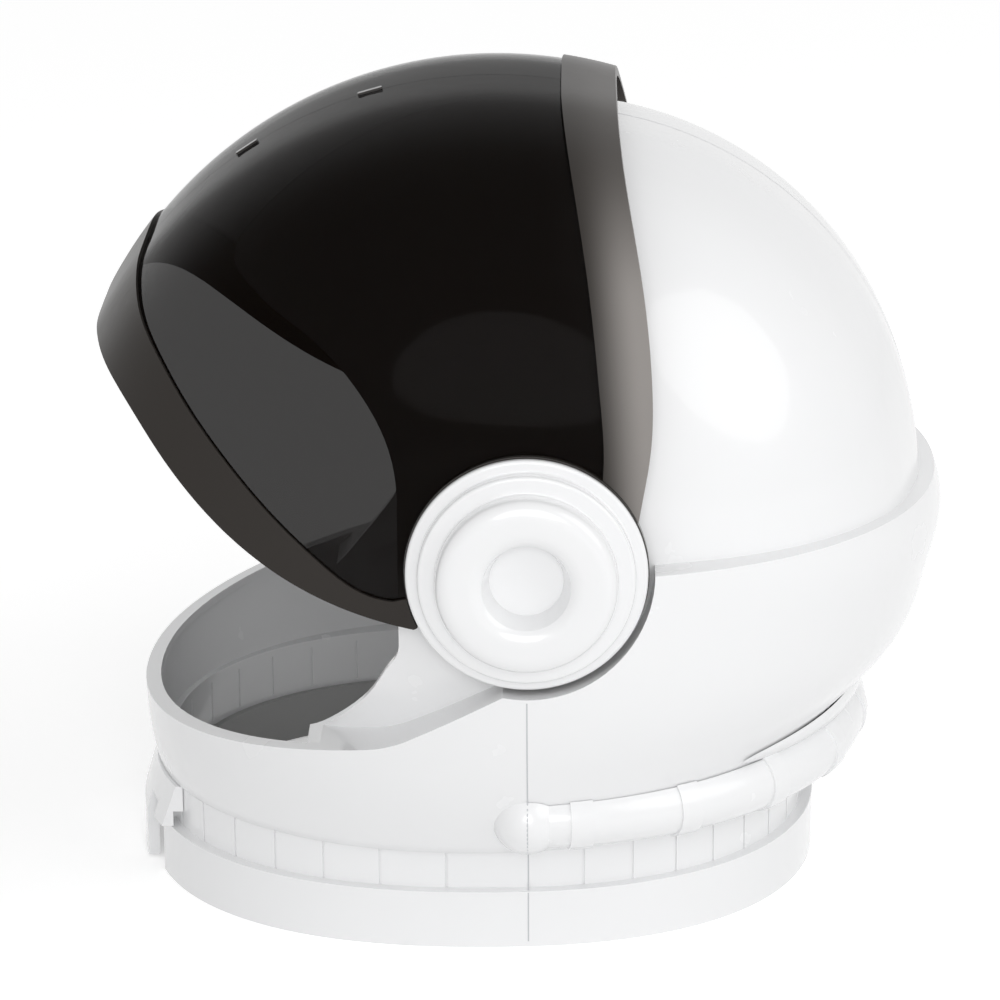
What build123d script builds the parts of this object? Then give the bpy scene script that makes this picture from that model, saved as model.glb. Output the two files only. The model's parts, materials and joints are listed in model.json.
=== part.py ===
from build123d import *
from math import asin, atan2, cos, degrees, hypot, pi, radians, sin
import os

# Space helmet with a smoked visor that swings over the dome on two ear pivots.
# Lengths are millimetres. X points to the wearer's left, -Y to the front and Z up.
# The origin is the centre of the neck ring, on the plane that the helmet stands on.
# The visor is drawn half open, the pose in which its joint reads zero.

os.makedirs("parts", exist_ok=True)

# Overall places
pivot_height = 146.0
pivot_setback = 18.0
wall = 3.0
overrun = 12.0

# Neck ring and neck wall
ring_half_length = 123.0
ring_half_width = 112.0
ring_height = 21.0
ring_proud = 4.0
ring_power = 2.3
slat_count = 40
slat_width = 0.9
slat_depth = 0.6
fit_gap = 0.3

# Lower body: each level gives height, front, back and half width as shares
body_top = 158.0
body_front = 125.0
body_back = 168.5
body_half_width = 137.0
body_power = 2.1
body_level_shares = (
    (0.234, 0.972, 0.703, 0.836),
    (0.291, 0.987, 0.727, 0.880),
    (0.367, 0.997, 0.766, 0.923),
    (0.456, 1.000, 0.828, 0.960),
    (0.557, 0.998, 0.915, 0.985),
    (0.658, 0.995, 0.957, 0.998),
    (0.759, 0.993, 0.981, 1.000),
    (0.861, 0.990, 0.995, 1.000),
    (1.000, 0.988, 1.000, 1.000),
)

# Chin ridge, seen from the side: reach forward and drop below the pivot
chin_reach = 142.0
chin_drop = 80.5
ridge_bend_share = (0.338, 0.802)
ridge_slope = 9.7
ridge_bend_radius = 45.0
ridge_end_angle = 11.0
rim_width = 5.5

# Dome behind the ear line and brow in front of it
dome_radius = 135.5
dome_half_width = 124.0
dome_setback = 5.5
dome_drop = 5.0
dome_power = 2.3

# Face opening, seen from the side, from the chin up to the brow
opening_drop = 76.0
opening_rise = 78.0
opening_reach = 96.0
opening_shares = (
    (0.833, 0.974), (0.719, 0.868), (0.625, 0.750), (0.552, 0.632),
    (0.495, 0.507), (0.458, 0.395),
)
brow_shares = ((0.458, 0.256), (0.510, 0.560), (0.700, 0.840))

# Air hose moulded round the back, its bands, its end bulbs and the roll above it
hose_radius = 10.5
hose_height = 52.0
hose_side_reach = 119.0
hose_back_reach = 114.0
hose_band_proud = 0.8
hose_band_angle = 3.6
hose_band_pitch = 18.0
hose_bulb_radius = 12.5
hose_gap = 0.4
roll_radius = 9.0
roll_height = 69.0
roll_side_reach = 116.0
roll_back_reach = 114.5

# Ear pivots
knob_radius = 41.0
knob_step_radius = 36.8
knob_ring_radius = 30.8
knob_crest_radius = 22.5
knob_dish_radius = 15.0
knob_floor_radius = 12.5
knob_back = 131.0
knob_flange = 2.6
knob_step = 7.3
knob_shoulder = 10.5
knob_crest = 16.5
knob_lip = 14.6
knob_floor = 6.2
knob_round = 1.2
hub_rim = 0.5
hub_thickness = 3.6
hub_clearance = 0.5
running_fit = 0.05
washer_thickness = 1.5
washer_radius = 24.0
boss_radius = 30.0
boss_thickness = 5.6
ear_plate_thickness = 3.0
ear_plate_radius = 27.0
bush_radius = 10.0
bush_flange_radius = 15.0
bush_flange = 3.0
pivot_screw_radius = 2.5
pivot_screw_head_radius = 5.0
pivot_screw_head = 3.2
pivot_screw_grip = 4.5
pocket_gap = 1.8

# Visor
visor_radius = 160.3
visor_half_width = 131.0
visor_setback = 12.6
visor_sink = 18.2
visor_power = 3.0
lens_thickness = 2.0
rim_proud = 1.3
closing_angle = 48.0
visor_reach = 150.4
visor_edge_shares = (
    (1.000, 0.943), (0.847, 0.863), (0.731, 0.861), (0.492, 0.837),
    (0.293, 0.741), (0.168, 0.630), (0.073, 0.515),
)
front_crease_shares = (
    (-0.924, 0.558), (-0.898, 0.505), (-0.838, 0.432), (-0.775, 0.355), (-0.678, 0.241),
    (-0.577, 0.130), (-0.464, 0.023), (-0.375, -0.043), (-0.300, -0.064),
)
rear_crease_shares = (
    (0.072, 0.954), (0.108, 0.798), (0.141, 0.605), (0.164, 0.392), (0.172, 0.283), (0.170, 0.216),
)
rear_edge_shares = (
    (0.200, 0.944), (0.220, 0.821), (0.253, 0.656), (0.279, 0.432),
    (0.277, 0.279), (0.263, 0.190), (0.249, 0.113),
)
lens_seam = 0.3
visor_joint = 0.1
tab_length = 9.0
tab_width = 2.4
tab_proud = 0.8
tab_angles = (16.0, 33.5)

# Front clip
clip_half_width = 33.0
clip_head_half_width = 54.0
clip_slot = 11.0
clip_head_low = 27.0
clip_bend_height = 20.0
clip_proud = 3.6
clip_slope = 5.1
clip_gap = 3.5
clip_foot = 1.0
clip_screw_spacing = 24.0
clip_screw_height = 32.0
clip_screw_grip = 2.0

# Inner hoop at the neck, pads and small screws
hoop_thickness = 2.5
hoop_margin = 1.5
pad_thickness = 12.0
pad_round = 3.0
crown_pad_radius = 44.0
crown_pad_setback = 25.0
rear_pad_width = 104.0
rear_pad_height = 46.0
rear_pad_rise = 26.0
side_pad_width = 56.0
side_pad_height = 38.0
side_pad_setback = 14.0
side_pad_rise = 62.0
pad_corner = 15.0
small_screw_radius = 1.5
small_screw_head_radius = 2.8
small_screw_head = 1.6
small_screw_grip = 4.0
small_screw_sink = 0.8
plate_screw_ring = 21.0
plate_screw_count = 4
hoop_screw_spacing = 24.0

# Places worked out from the sizes above
pivot_y = pivot_setback
pivot_z = pivot_height
span = 2 * (knob_back + knob_crest) + 2 * overrun
hub_radius = knob_radius + hub_rim
pocket_radius = hub_radius + pocket_gap
hub_outer = knob_back - hub_clearance
hub_inner = hub_outer - hub_thickness
boss_outer = hub_inner - washer_thickness
boss_inner = boss_outer - boss_thickness
plate_inner = boss_inner - ear_plate_thickness
bush_inner = plate_inner - bush_flange
brow_radius = (dome_radius**2 - dome_setback**2) ** 0.5
neck_height = body_top * body_level_shares[0][0]
neck_half_length = ring_half_length - ring_proud
neck_half_width = ring_half_width - ring_proud
clip_slot_end = clip_half_width + clip_slot
hoop_inset = wall + fit_gap
hoop_depth = fit_gap + hoop_thickness
hoop_seat = hoop_depth - small_screw_sink


def oval_points(front, half_width, near, far, power, count=13):
    """Points of half a superellipse, in front of the ear line or behind it."""
    half_length = (far - near) / 2
    middle = (far + near) / 2
    offset_share = (pivot_y - middle) / half_length
    start = asin(abs(offset_share) ** (power / 2)) * (1 if offset_share >= 0 else -1)
    end = -pi - start if front else pi - start
    points = []
    for index in range(count):
        turn = start + (end - start) * index / (count - 1)
        across, along = cos(turn), sin(turn)
        x = half_width * abs(across) ** (2 / power) * (1 if across >= 0 else -1)
        y = half_length * abs(along) ** (2 / power) * (1 if along >= 0 else -1)
        points.append((x, middle + y))
    return points


def draw_wall(front, half_width, near, far, power, thickness):
    """Draw one level of a wall that runs from ear line to ear line."""
    outer = oval_points(front, half_width, near, far, power)
    inner = oval_points(front, half_width - thickness, near + thickness, far - thickness, power)
    Spline(*outer)
    Line(outer[-1], inner[-1])
    Spline(*inner)
    Line(inner[0], outer[0])


def body_sizes(level):
    """Height, half width, front and back of one level of the lower body."""
    height_share, front_share, back_share, width_share = level
    return (
        body_top * height_share,
        body_half_width * width_share,
        -body_front * front_share,
        body_back * back_share,
    )


def body_wall(front):
    """Lofted wall of the lower body, front or rear half."""
    with BuildPart() as loft_wall:
        for level in body_level_shares:
            height, half_width, near, far = body_sizes(level)
            with BuildSketch(Plane.XY.offset(height)):
                with BuildLine():
                    draw_wall(front, half_width, near, far, body_power, wall)
                make_face()
        loft()
    return loft_wall.part


def body_block(front, inset=0, straight=False):
    """The lower body as a solid block, drawn in by the inset, with straight or curved sides."""
    with BuildPart() as block:
        for level in body_level_shares:
            height, half_width, near, far = body_sizes(level)
            outline = oval_points(front, half_width - inset, near + inset, far - inset, body_power)
            with BuildSketch(Plane.XY.offset(height)):
                with BuildLine():
                    Spline(*outline)
                    Line(outline[-1], outline[0])
                make_face()
        loft(ruled=straight)
    return block.part


def neck_band(front, half_width, half_length, thickness, low, high):
    """Upright wall round the neck, front or rear half."""
    with BuildPart() as band:
        with BuildSketch(Plane.XY.offset(low)):
            with BuildLine():
                draw_wall(front, half_width, -half_length, half_length, ring_power, thickness)
            make_face()
        extrude(amount=high - low)
    return band.part


def turned_solid(radius, half_width, power, setback, rise, inset):
    """Surface of revolution about an axis along X, boxier as the power grows."""
    reach = radius - inset
    half = half_width - inset
    count = 8
    points = []
    for index in range(count + 1):
        turn = pi / 2 * index / count
        points.append((half * cos(turn) ** (2 / power), reach * sin(turn) ** (2 / power)))
    points[-1] = (0, reach)
    centre = (0, pivot_y + setback, pivot_z + rise)
    with BuildPart() as turned:
        with BuildSketch(Plane(origin=centre, x_dir=(1, 0, 0), z_dir=(0, -1, 0))):
            with BuildLine():
                Spline(*points, tangents=((0, 1), (-1, 0)))
                mirror(about=Plane.YZ)
                Line((half, 0), (-half, 0))
            make_face()
        revolve(axis=Axis(centre, (1, 0, 0)))
    return turned.part


def side_point(y, z):
    """Point of the side view, measured from the pivot."""
    return (pivot_y + y, pivot_z + z)


def side_slab(draw_outline):
    """Slab across the whole helmet over a closed outline in the side view."""
    with BuildPart() as slab:
        with BuildSketch(Plane.YZ.offset(-span / 2)):
            with BuildLine():
                draw_outline()
            make_face()
        extrude(amount=span)
    return slab.part


def above_ridge(drop):
    """Everything above the chin ridge, the ear pocket and the rear ledge."""
    radius = pocket_radius + drop
    bend = side_point(-chin_reach * ridge_bend_share[0], -chin_drop * ridge_bend_share[1] - drop)
    far = chin_reach + 4 * overrun
    front_end = (bend[0] - far, bend[1] - far * sin(radians(ridge_slope)) / cos(radians(ridge_slope)))
    turn = radians(ridge_end_angle)
    pocket_start = side_point(-radius * sin(turn), -radius * cos(turn))
    pocket_middle = side_point(radius * cos(pi / 4), -radius * sin(pi / 4))
    pocket_end = side_point(radius, -drop)
    far_back = body_back + 2 * overrun
    high = pivot_z + visor_radius

    def outline():
        FilletPolyline(front_end, bend, pocket_start, radius=ridge_bend_radius)
        ThreePointArc(pocket_start, pocket_middle, pocket_end)
        Polyline(pocket_end, (far_back, pocket_end[1]), (far_back, high), (front_end[0], high), front_end)

    return side_slab(outline)


def face_region(low):
    """Everything in front of the face opening's edge, down to a height."""
    lower = [side_point(-opening_reach * y, -opening_drop * z) for y, z in opening_shares]
    upper = [side_point(-opening_reach * y, opening_rise * z) for y, z in brow_shares]
    brow = side_point(-opening_reach, opening_rise)
    far_front = pivot_y - chin_reach - 4 * overrun

    def outline():
        Spline(*lower, tangents=((1, 0.45), (0, 1)))
        Line(lower[-1], upper[0])
        Spline(*upper, brow, tangents=((0, 1), (-1, 0.35)))
        Polyline(brow, (far_front, brow[1] + overrun), (far_front, low), (lower[0][0], low), lower[0])

    return side_slab(outline)


def half_space(front):
    """The front or the rear half, split at the ear line."""
    reach = chin_reach + visor_radius
    with BuildPart() as half:
        with Locations((0, pivot_y + (-reach if front else reach) / 2, pivot_z)):
            Box(span, reach, 2 * (pivot_z + visor_radius))
    return half.part


def ear_cylinder(radius, start, end, side):
    """Cylinder on the pivot axis between two distances from the middle."""
    with BuildPart() as drum:
        with BuildSketch(Plane.YZ.offset(side * start)):
            with Locations((pivot_y, pivot_z)):
                Circle(radius)
        extrude(amount=side * (end - start))
    return drum.part


def head_solid(front, inset):
    """Dome behind the ear line or brow in front of it, as a block."""
    radius = brow_radius if front else dome_radius
    setback = 0 if front else dome_setback
    return turned_solid(radius, dome_half_width, dome_power, setback, -dome_drop, inset)


def head_shell(front, drop):
    """Wall of the dome or the brow with its half of the ear bosses, down past the ridge by the drop."""
    half = half_space(front)
    with BuildPart() as head:
        add(head_solid(front, 0))
        add(half, mode=Mode.INTERSECT)
        add(head_solid(front, wall), mode=Mode.SUBTRACT)
        add(above_ridge(drop), mode=Mode.INTERSECT)
        for side in (1, -1):
            add(ear_cylinder(boss_radius, boss_inner, boss_outer, side))
        add(half, mode=Mode.INTERSECT)
        for side in (1, -1):
            add(ear_ports(side), mode=Mode.SUBTRACT)
    return head.part


def shell_half(front):
    """Half of the lower shell with its ledge and neck, and in front with the brow."""
    with BuildPart() as ledge:
        add(above_ridge(wall))
        add(above_ridge(0), mode=Mode.SUBTRACT)
        add(body_block(front, wall / 2), mode=Mode.INTERSECT)
        add(head_solid(front, wall / 2 if front else wall), mode=Mode.SUBTRACT)
    with BuildPart() as floor:
        add(body_block(front, wall / 2))
        add(slab_across(neck_height, neck_height + wall), mode=Mode.INTERSECT)
        add(oval_block(front, neck_half_width - wall / 2, neck_half_length - wall / 2, 0, pivot_z), mode=Mode.SUBTRACT)
    with BuildPart() as ring:
        add(neck_band(front, ring_half_width, ring_half_length, ring_proud, 0, ring_height))
        with Locations((0, -ring_half_length, ring_height / 2)):
            Box(2 * clip_slot_end, ring_half_length, 2 * ring_height, mode=Mode.SUBTRACT)
    with BuildPart() as shell:
        add(body_wall(front))
        add(above_ridge(0), mode=Mode.SUBTRACT)
        add(floor.part)
        add(ledge.part)
        if front:
            add(head_shell(front, wall))
        add(neck_band(front, neck_half_width, neck_half_length, wall, 0, neck_height + wall))
        add(ring.part)
        add(half_space(front), mode=Mode.INTERSECT)
        add(slat_grooves(front, neck_half_width, neck_half_length), mode=Mode.SUBTRACT)
        add(slat_grooves(front, neck_half_width - wall, neck_half_length - wall), mode=Mode.SUBTRACT)
        add(hoop_pins(small_screw_radius + running_fit, overrun, small_screw_grip), mode=Mode.SUBTRACT)
    return shell.part


def slab_across(low, high):
    """Level slab under the whole helmet between two heights."""
    with BuildPart() as block:
        with Locations((0, 0, (low + high) / 2)):
            Box(4 * body_half_width, 4 * body_back, high - low)
    return block.part


def oval_block(front, half_width, half_length, low, high):
    """Solid block inside the neck oval, front or rear half."""
    outline = oval_points(front, half_width, -half_length, half_length, ring_power)
    with BuildPart() as block:
        with BuildSketch(Plane.XY.offset(low)):
            with BuildLine():
                Spline(*outline)
                Line(outline[-1], outline[0])
            make_face()
        extrude(amount=high - low)
    return block.part


def slat_grooves(front, half_width, half_length):
    """Upright grooves round one face of the neck wall, above the ring."""
    points = oval_points(front, half_width, -half_length, half_length, ring_power, slat_count // 2)
    places = []
    for before, point, after in zip(points, points[1:], points[2:]):
        heading = degrees(atan2(after[1] - before[1], after[0] - before[0]))
        places.append(Location((point[0], point[1], (ring_height + neck_height) / 2), (0, 0, heading)))
    with BuildPart() as grooves:
        with Locations(*places):
            Box(slat_width, 2 * slat_depth, neck_height - ring_height)
    return grooves.part


def ear_ports(side):
    """Bore for the bush, seat of the ear plate and blind holes for its screws."""
    with BuildPart() as ports:
        add(ear_cylinder(ear_plate_radius + fit_gap, plate_inner - overrun, boss_inner, side))
        add(ear_cylinder(bush_radius + running_fit, plate_inner, boss_outer + overrun, side))
        add(ear_pins(small_screw_radius + running_fit, plate_inner, boss_inner + small_screw_grip, side))
    return ports.part


def ear_pins(radius, start, end, side):
    """Ring of pins beside the pivot, where the ear plate is screwed down."""
    with BuildPart() as pins:
        with BuildSketch(Plane.YZ.offset(side * start)):
            with Locations((pivot_y, pivot_z)):
                with PolarLocations(plate_screw_ring, plate_screw_count, start_angle=180 / plate_screw_count):
                    Circle(radius)
        extrude(amount=side * (end - start))
    return pins.part


def neck_reach_at(offset, half_width, half_length):
    """Distance of the neck oval from the middle plane at a place along its length."""
    return half_width * (1 - abs(offset / half_length) ** ring_power) ** (1 / ring_power)


def hoop_pins(radius, inward, outward):
    """Pins across the hoop beside the ear line, between two depths."""
    with BuildPart() as pins:
        for side in (1, -1):
            for shift in (-hoop_screw_spacing / 2, hoop_screw_spacing / 2):
                seat = neck_reach_at(pivot_y + shift, neck_half_width - wall, neck_half_length - wall)
                with BuildSketch(Plane.YZ.offset(side * (seat - inward))):
                    with Locations((pivot_y + shift, ring_height / 2)):
                        Circle(radius)
                extrude(amount=side * (inward + outward))
    return pins.part


def bent_ring(radius, height, side_reach, back_reach, band_proud=0):
    """Round bar bent level round the back, through its reach at the ears and behind."""
    turn_radius = (side_reach**2 + back_reach**2) / (2 * back_reach)
    centre = (0, pivot_y + back_reach - turn_radius, height)
    with BuildPart() as ring:
        with Locations(centre):
            Torus(turn_radius, radius)
        if band_proud:
            for index in range(int(180 / hose_band_pitch)):
                turn = radians(hose_band_pitch * (index + 1) - hose_band_pitch / 2)
                middle = (turn_radius * cos(turn), centre[1] + turn_radius * sin(turn), height)
                with BuildSketch(Plane(origin=middle, x_dir=(cos(turn), sin(turn), 0), z_dir=(-sin(turn), cos(turn), 0))):
                    Circle(radius + band_proud)
                revolve(axis=Axis(centre, (0, 0, 1)), revolution_arc=hose_band_angle)
    return ring.part


def hose_moulding(front):
    """Hose, its bulbs and the roll above it behind the ear line, or the bulbs' front halves."""
    with BuildPart() as moulding:
        with Locations((hose_side_reach, pivot_y, hose_height), (-hose_side_reach, pivot_y, hose_height)):
            Sphere(hose_bulb_radius)
        if not front:
            add(bent_ring(hose_radius, hose_height, hose_side_reach, hose_back_reach, hose_band_proud))
            add(bent_ring(roll_radius, roll_height, roll_side_reach, roll_back_reach))
        add(half_space(front), mode=Mode.INTERSECT)
        if front:
            add(body_block(front, wall / 2), mode=Mode.SUBTRACT)
        else:
            add(body_block(front, -hose_gap, True), mode=Mode.SUBTRACT)
    return moulding.part


def clip_screw_pins(radius, inward, outward):
    """Pins through the front of the neck wall into the clip's head."""
    with BuildPart() as pins:
        for shift in (-clip_screw_spacing / 2, clip_screw_spacing / 2):
            seat = neck_reach_at(shift, neck_half_length - wall, neck_half_width - wall)
            with BuildSketch(Plane.XZ.offset(seat - inward)):
                with Locations((shift, clip_screw_height)):
                    Circle(radius)
            extrude(amount=inward + outward)
    return pins.part


def opened(y, z):
    """Side view place of a point of the closed visor in the drawn pose."""
    turn = radians(closing_angle)
    return side_point(y * cos(turn) + z * sin(turn), z * cos(turn) - y * sin(turn))


def visor_solid(inset):
    """The visor's outer form as a block, drawn in by the inset."""
    return turned_solid(
        visor_radius, visor_half_width, visor_power, -visor_setback, -visor_sink, inset,
    )


def beyond(points):
    """The last point of a path carried on past the visor's skin."""
    (y0, z0), (y1, z1) = points[-2:]
    stretch = 2 * overrun / hypot(y1 - y0, z1 - z0)
    return (y1 + (y1 - y0) * stretch, z1 + (z1 - z0) * stretch)


def visor_piece(near, far, proud, over_top):
    """Part of the visor's skin between two paths that fan out from the pivot."""
    near_end = beyond(near)
    far_end = beyond(far)
    high = pivot_z + visor_radius + overrun
    crossing = [(near_end[0], high), (far_end[0], high)] if over_top else []
    centre = side_point(0, 0)

    def outline():
        Line(centre, near[0])
        Spline(*near)
        Polyline(near[-1], near_end, *crossing, far_end, far[-1])
        Spline(*reversed(far))
        Line(far[0], centre)

    with BuildPart() as piece:
        add(visor_solid(-proud))
        add(visor_solid(lens_thickness), mode=Mode.SUBTRACT)
        add(side_slab(outline), mode=Mode.INTERSECT)
        for side in (1, -1):
            add(ear_cylinder(hub_radius, 0, span / 2, side), mode=Mode.SUBTRACT)
    return piece.part


front_edge = [opened(-visor_reach * y, -chin_drop * z) for y, z in reversed(visor_edge_shares)]
front_crease = [side_point(visor_reach * y, visor_reach * z) for y, z in reversed(front_crease_shares)]
rear_crease = [side_point(visor_reach * y, visor_reach * z) for y, z in reversed(rear_crease_shares)]
rear_edge = [side_point(visor_reach * y, visor_reach * z) for y, z in reversed(rear_edge_shares)]


def face_cutter():
    """Space cut out of the front shell for the face, down inside the chin rim."""
    low = pivot_z - chin_drop - 3 * wall
    with BuildPart() as window:
        add(face_region(low))
        add(above_ridge(0), mode=Mode.INTERSECT)
    with BuildPart() as cutter:
        add(face_region(low))
        add(body_block(True, rim_width), mode=Mode.INTERSECT)
        add(window.part)
    return cutter.part


def ear_part(draw, side):
    """Turned piece on the pivot axis, drawn as radius and distance from the knob's seat."""
    seat = (side * knob_back, pivot_y, pivot_z)
    with BuildPart() as turned:
        with BuildSketch(Plane(origin=seat, x_dir=(0, 1, 0), z_dir=(0, 0, -side))):
            with BuildLine():
                draw()
            make_face()
        revolve(axis=Axis(seat, (1, 0, 0)))
    return turned.part


def draw_knob():
    """Outline of half the knob: flange, tier, round crest and dished centre."""
    bore = pivot_screw_radius + running_fit
    FilletPolyline(
        (bore, 0), (knob_radius, 0), (knob_radius, knob_flange), (knob_step_radius, knob_flange),
        (knob_step_radius, knob_step), (knob_ring_radius, knob_step), (knob_ring_radius, knob_shoulder),
        radius=(knob_round / 2, knob_round, knob_round / 2, knob_round, knob_round / 2),
    )
    Spline(
        (knob_ring_radius, knob_shoulder), (knob_crest_radius, knob_crest), (knob_dish_radius, knob_lip),
        tangents=((0, 1), (-1, -1)),
    )
    Polyline(
        (knob_dish_radius, knob_lip), (knob_floor_radius, knob_floor), (0, knob_floor),
        (0, pivot_screw_grip + knob_flange / 4), (bore, pivot_screw_grip + knob_flange / 4), (bore, 0),
    )


def ear_ring(outer, inner, start, end, side):
    """Ring on the pivot axis between two distances from the middle."""
    with BuildPart() as ring:
        add(ear_cylinder(outer, start, end, side))
        add(ear_cylinder(inner, start, end, side), mode=Mode.SUBTRACT)
    return ring.part


def ear_plate(side):
    """Inner plate that bridges the two shell halves behind the ear."""
    with BuildPart() as plate:
        add(ear_ring(ear_plate_radius, bush_radius + running_fit, plate_inner, boss_inner, side))
        add(ear_pins(small_screw_radius + running_fit, plate_inner, boss_inner, side), mode=Mode.SUBTRACT)
    return plate.part


def pivot_bush(side):
    """Flanged bush that carries the visor's hub."""
    with BuildPart() as bush:
        add(ear_cylinder(bush_flange_radius, bush_inner, plate_inner, side))
        add(ear_cylinder(bush_radius, plate_inner, knob_back, side))
        add(ear_cylinder(pivot_screw_radius + running_fit, bush_inner, knob_back, side), mode=Mode.SUBTRACT)
    return bush.part


def pivot_screw(side):
    """Screw from inside the ear through the bush into the knob."""
    with BuildPart() as screw:
        add(ear_cylinder(pivot_screw_head_radius, bush_inner - pivot_screw_head, bush_inner, side))
        add(ear_cylinder(pivot_screw_radius, bush_inner, knob_back + pivot_screw_grip, side))
    return screw.part


def visor_lens(side):
    """One half of the smoked lens, up to the seam on the middle plane."""
    with BuildPart() as lens:
        add(visor_piece(front_crease, rear_crease, 0, True))
        with Locations((side * (lens_seam + span) / 2, pivot_y, pivot_z)):
            Box(span, 4 * visor_radius, 4 * visor_radius, mode=Mode.INTERSECT)
    return lens.part


# Front shell: brow, cheeks, chin bowl and the front half of the neck
with BuildPart() as front_shell:
    add(shell_half(True))
    add(hose_moulding(True))
    add(face_cutter(), mode=Mode.SUBTRACT)
    add(clip_screw_pins(small_screw_radius + running_fit, overrun, wall + overrun), mode=Mode.SUBTRACT)
front_shell.part.label = "front_shell"
export_step(front_shell.part, "parts/front_shell.step")

# Rear shell: ledge, back of the body and the rear half of the neck
with BuildPart() as rear_shell:
    add(shell_half(False))
rear_shell.part.label = "rear_shell"
export_step(rear_shell.part, "parts/rear_shell.step")

# Dome over the back of the head, standing on the ledge
with BuildPart() as rear_dome:
    add(head_shell(False, 0))
rear_dome.part.label = "rear_dome"
export_step(rear_dome.part, "parts/rear_dome.step")

# Air hose round the back with its bands, bulbs and the roll above it
with BuildPart() as air_hose:
    add(hose_moulding(False))
air_hose.part.label = "air_hose"
export_step(air_hose.part, "parts/air_hose.step")

# Hoop inside the neck that ties the two halves together
with BuildPart() as neck_hoop:
    for front in (True, False):
        add(neck_band(
            front, neck_half_width - hoop_inset, neck_half_length - hoop_inset, hoop_thickness,
            hoop_margin, ring_height - hoop_margin,
        ))
    add(hoop_pins(small_screw_radius + running_fit, hoop_seat, overrun), mode=Mode.SUBTRACT)
    add(hoop_pins(small_screw_head_radius + fit_gap, 2 * overrun, -hoop_seat), mode=Mode.SUBTRACT)
neck_hoop.part.label = "neck_hoop"
export_step(neck_hoop.part, "parts/neck_hoop.step")

# Screws of the hoop
with BuildPart() as hoop_screws:
    add(hoop_pins(small_screw_radius, hoop_seat, small_screw_grip - fit_gap))
    add(hoop_pins(small_screw_head_radius, hoop_seat + small_screw_head, -hoop_seat))
hoop_screws.part.label = "hoop_screws"
export_step(hoop_screws.part, "parts/hoop_screws.step")

# Front clip: a stem in front of the ring under a wider head with two short legs
with BuildPart() as front_clip:
    front_reach = ring_half_length + clip_proud
    side_reach = ring_half_width + clip_proud
    add(oval_block(True, side_reach, front_reach, clip_foot, clip_bend_height))
    for height, inset in ((clip_bend_height, 0), (neck_height - fit_gap, clip_slope)):
        with BuildSketch(Plane.XY.offset(height)):
            with BuildLine():
                outline = oval_points(True, side_reach - inset, inset - front_reach, front_reach - inset, ring_power)
                Spline(*outline)
                Line(outline[-1], outline[0])
            make_face()
    loft()
    add(oval_block(
        True, neck_half_width + fit_gap, neck_half_length + fit_gap, clip_head_low, pivot_z,
    ), mode=Mode.SUBTRACT)
    add(oval_block(
        True, neck_half_width + clip_gap, neck_half_length + clip_gap, 0, clip_head_low,
    ), mode=Mode.SUBTRACT)
    with BuildSketch(Plane.XZ):
        with BuildLine():
            Polyline(
                (0, clip_foot), (clip_half_width, clip_foot), (clip_half_width, clip_head_low),
                (clip_slot_end, clip_head_low), (clip_slot_end, ring_height + fit_gap),
                (clip_head_half_width, ring_height + fit_gap), (clip_head_half_width, neck_height),
                (0, neck_height), (0, clip_foot),
            )
        make_face()
        mirror(about=Plane.YZ)
    extrude(amount=2 * ring_half_length, mode=Mode.INTERSECT)
    add(clip_screw_pins(small_screw_radius + running_fit, 0, hoop_inset + clip_screw_grip + fit_gap), mode=Mode.SUBTRACT)
front_clip.part.label = "front_clip"
export_step(front_clip.part, "parts/front_clip.step")

# Screws of the clip, driven from inside the neck
with BuildPart() as clip_screws:
    add(clip_screw_pins(small_screw_radius, fit_gap, hoop_inset + clip_screw_grip))
    add(clip_screw_pins(small_screw_head_radius, fit_gap + small_screw_head, -fit_gap))
clip_screws.part.label = "clip_screws"
export_step(clip_screws.part, "parts/clip_screws.step")

# Screws of both ear plates
with BuildPart() as ear_plate_screws:
    for side in (1, -1):
        add(ear_pins(small_screw_head_radius, plate_inner - small_screw_head, plate_inner, side))
        add(ear_pins(small_screw_radius, plate_inner, boss_inner + small_screw_grip - fit_gap, side))
ear_plate_screws.part.label = "ear_plate_screws"
export_step(ear_plate_screws.part, "parts/ear_plate_screws.step")

# Ear pieces, visor hubs and lens halves, made once for each side
for side, hand in ((1, "left"), (-1, "right")):
    with BuildPart() as plate:
        add(ear_plate(side))
    plate.part.label = f"ear_plate_{hand}"
    export_step(plate.part, f"parts/ear_plate_{hand}.step")

    with BuildPart() as bush:
        add(pivot_bush(side))
    bush.part.label = f"pivot_bush_{hand}"
    export_step(bush.part, f"parts/pivot_bush_{hand}.step")

    with BuildPart() as washer:
        add(ear_ring(washer_radius, bush_radius + running_fit, boss_outer, hub_inner - running_fit, side))
    washer.part.label = f"pivot_washer_{hand}"
    export_step(washer.part, f"parts/pivot_washer_{hand}.step")

    with BuildPart() as screw:
        add(pivot_screw(side))
    screw.part.label = f"pivot_screw_{hand}"
    export_step(screw.part, f"parts/pivot_screw_{hand}.step")

    with BuildPart() as knob:
        add(ear_part(draw_knob, side))
    knob.part.label = f"ear_knob_{hand}"
    export_step(knob.part, f"parts/ear_knob_{hand}.step")

    with BuildPart() as hub:
        add(ear_ring(hub_radius - visor_joint, bush_radius + running_fit, hub_inner, hub_outer, side))
    hub.part.label = f"visor_hub_{hand}"
    export_step(hub.part, f"parts/visor_hub_{hand}.step")

    with BuildPart() as lens:
        add(visor_lens(side))
    lens.part.label = f"visor_lens_{hand}"
    export_step(lens.part, f"parts/visor_lens_{hand}.step")

# Front rim of the visor, from hub to hub along the free edge
with BuildPart() as visor_front_rim:
    add(visor_piece(front_edge, front_crease, rim_proud, False))
visor_front_rim.part.label = "visor_front_rim"
export_step(visor_front_rim.part, "parts/visor_front_rim.step")

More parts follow.
